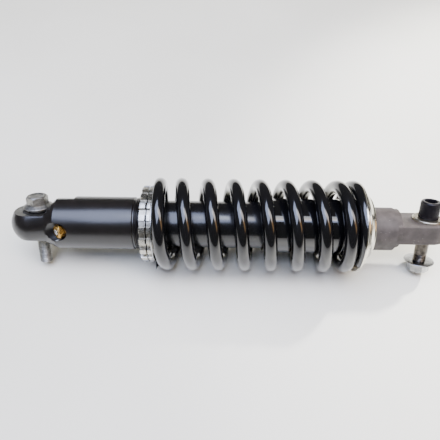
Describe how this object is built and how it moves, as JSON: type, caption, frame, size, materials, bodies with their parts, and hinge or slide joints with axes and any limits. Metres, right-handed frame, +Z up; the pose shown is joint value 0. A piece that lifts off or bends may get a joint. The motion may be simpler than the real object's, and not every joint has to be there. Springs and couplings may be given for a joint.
{
  "type": "rear shock absorber",
  "caption": "Monotube motorcycle rear shock absorber with a coil-over spring, a preload adjuster with lock ring, a spherical upper eye, a gas valve and a forged lower tongue with its bolts.",
  "frame": {"origin": "on the table, below the middle of the whole length and below the damper's axis", "axes": "+X along the damper from the upper eye to the lower eye, +Y to the back, +Z up; both bolts lean to the back by about 30 degrees, as the part lies on its spring and its lower nut"},
  "size_m": [0.4096, 0.087, 0.0871],
  "materials": {
    "black_anodised": "gloss black anodised aluminium, turned",
    "black_powder_coat": "gloss black powder coat on spring steel",
    "black_sleeve": "moulded gloss black sleeve",
    "cast_black": "matte dark grey coated steel forging",
    "ring_alloy": "machined aluminium, clear anodised",
    "zinc_steel": "zinc plated steel",
    "black_oxide_steel": "black oxide on alloy steel",
    "brass": "machined brass",
    "bearing_steel": "ground bearing steel",
    "hard_chrome": "ground and hard chromed steel",
    "tube_steel": "black coated steel tube",
    "seal_rubber": "nitrile rubber",
    "bearing_seal_rubber": "dark moulded rubber",
    "bump_foam": "cellular polyurethane",
    "bronze_bush": "sintered bronze with PTFE",
    "band_ptfe": "bronze-filled PTFE",
    "alloy_internal": "turned aluminium"
  },
  "bodies": {
    "damper_body": {"upper_body": "black_anodised", "damper_tube": "tube_steel", "bearing_outer_race": "bearing_steel", "bearing_circlips": "black_oxide_steel", "bearing_seals": "bearing_seal_rubber", "gas_valve_plug": "brass", "gas_valve_screw": "zinc_steel", "gas_valve_o_ring": "seal_rubber", "seal_head": "alloy_internal", "seal_head_o_ring": "seal_rubber", "rod_guide_bush": "bronze_bush", "rod_seal": "seal_rubber", "rod_wiper": "seal_rubber", "seal_head_clip": "zinc_steel", "top_out_bumper": "seal_rubber", "coil_spring": "black_powder_coat"},
    "upper_ball": {"bearing_ball": "bearing_steel", "bearing_spacers": "zinc_steel"},
    "upper_bolt_body": {"upper_bolt": "zinc_steel"},
    "floating_piston_body": {"floating_piston": "alloy_internal", "floating_piston_o_ring": "seal_rubber"},
    "preload_stack": {"thrust_washer": "zinc_steel"},
    "adjuster": {"adjuster_ring": "ring_alloy"},
    "lock": {"lock_ring": "ring_alloy"},
    "lower_seat": {"lower_spring_seat": "ring_alloy", "dust_sleeve": "black_sleeve"},
    "damper_rod": {"piston_rod": "hard_chrome", "main_piston": "alloy_internal", "piston_band": "band_ptfe", "rebound_shims": "bearing_steel", "compression_shims": "bearing_steel", "piston_nut": "zinc_steel", "bump_stop": "bump_foam", "bump_stop_cup": "zinc_steel", "lower_mount": "cast_black", "lower_eye_bush": "bearing_steel"},
    "lower_bolt_body": {"lower_bolt": "black_oxide_steel", "lower_washer": "zinc_steel", "lower_nut": "zinc_steel"}
  },
  "joints": [
    {"name": "ball_tilt", "type": "hinge", "parent": "damper_body", "child": "upper_ball", "pos_m": [-0.17915, 0, 0.04355], "axis": [1, 0, 0], "range_deg": [-4, 4]},
    {"name": "upper_bolt_turn", "type": "hinge", "parent": "upper_ball", "child": "upper_bolt_body", "pos_m": [-0.17915, 0, 0.04355], "axis": [0, 0.4953, 0.8687], "continuous": true},
    {"name": "damper_stroke", "type": "slide", "parent": "damper_body", "child": "lower_seat", "axis": [1, 0, 0], "range_m": [-0.055, 0], "stiffness_N_per_m": 90000},
    {"name": "rod_turn", "type": "hinge", "parent": "lower_seat", "child": "damper_rod", "pos_m": [0.18685, 0, 0.04355], "axis": [1, 0, 0], "continuous": true},
    {"name": "lower_bolt_turn", "type": "hinge", "parent": "damper_rod", "child": "lower_bolt_body", "pos_m": [0.18685, 0, 0.04355], "axis": [0, 0.4953, 0.8687], "continuous": true},
    {"name": "floating_piston_slide", "type": "slide", "parent": "damper_body", "child": "floating_piston_body", "axis": [1, 0, 0], "range_m": [-0.0085, 0]},
    {"name": "preload_slide", "type": "slide", "parent": "damper_body", "child": "preload_stack", "axis": [1, 0, 0], "range_m": [-0.0081, 0]},
    {"name": "adjuster_turn", "type": "hinge", "parent": "preload_stack", "child": "adjuster", "pos_m": [-0.07215, 0, 0.04355], "axis": [1, 0, 0], "range_deg": [-1920, 0]},
    {"name": "lock_ring_turn", "type": "hinge", "parent": "preload_stack", "child": "lock", "pos_m": [-0.07765, 0, 0.04355], "axis": [1, 0, 0], "range_deg": [-1925, 0]}
  ],
  "couplings": [
    {"joint": "floating_piston_slide", "follows": "damper_stroke", "ratio": 0.15124},
    {"joint": "preload_slide", "follows": "adjuster_turn", "m_per_rad": 0.00023873},
    {"joint": "lock_ring_turn", "follows": "adjuster_turn", "ratio": 1}
  ]
}
